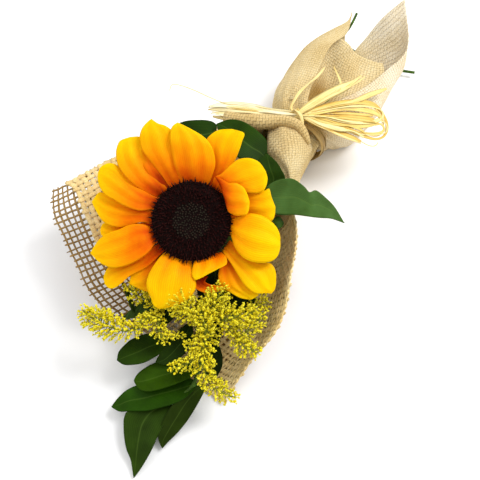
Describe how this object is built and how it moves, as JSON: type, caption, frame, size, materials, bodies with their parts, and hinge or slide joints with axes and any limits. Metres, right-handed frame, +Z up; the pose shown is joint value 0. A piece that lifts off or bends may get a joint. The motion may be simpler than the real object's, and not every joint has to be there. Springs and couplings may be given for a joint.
{
  "type": "sunflower bouquet",
  "caption": "Sunflower with goldenrod and ruscus foliage, lying wrapped in a sheet of open burlap that is gathered and tied with a raffia bow.",
  "frame": {"origin": "bottom centre of the bouquet's bounding box, on the surface it lies on", "axes": "+Y from the flower end to the tails of the wrap, +Z up, +X to the right when it is seen from above"},
  "size_m": [0.2023, 0.4362, 0.1072],
  "materials": {
    "disc_florets": "matt, dark brown fertile florets",
    "ray_petal": "satin, golden yellow petal",
    "green_stem": "matt, fresh green stem",
    "ruscus_leaf": "waxy, dark green leaf",
    "goldenrod_floret": "matt, yellow florets",
    "burlap": "matt, natural jute",
    "raffia": "satin, pale straw"
  },
  "bodies": {
    "root": {"sunflower_disc": "disc_florets", "sunflower_petals": "ray_petal", "sunflower_stem": "green_stem", "ruscus_front": "ruscus_leaf", "ruscus_back": "ruscus_leaf", "ruscus_side": "ruscus_leaf", "goldenrod_left_stem": "green_stem", "goldenrod_left_plume": "goldenrod_floret", "goldenrod_middle_stem": "green_stem", "goldenrod_middle_plume": "goldenrod_floret", "goldenrod_right_stem": "green_stem", "goldenrod_right_plume": "goldenrod_floret", "burlap_wrap": "burlap", "raffia_binding": "raffia", "raffia_bow": "raffia"}
  },
  "joints": []
}
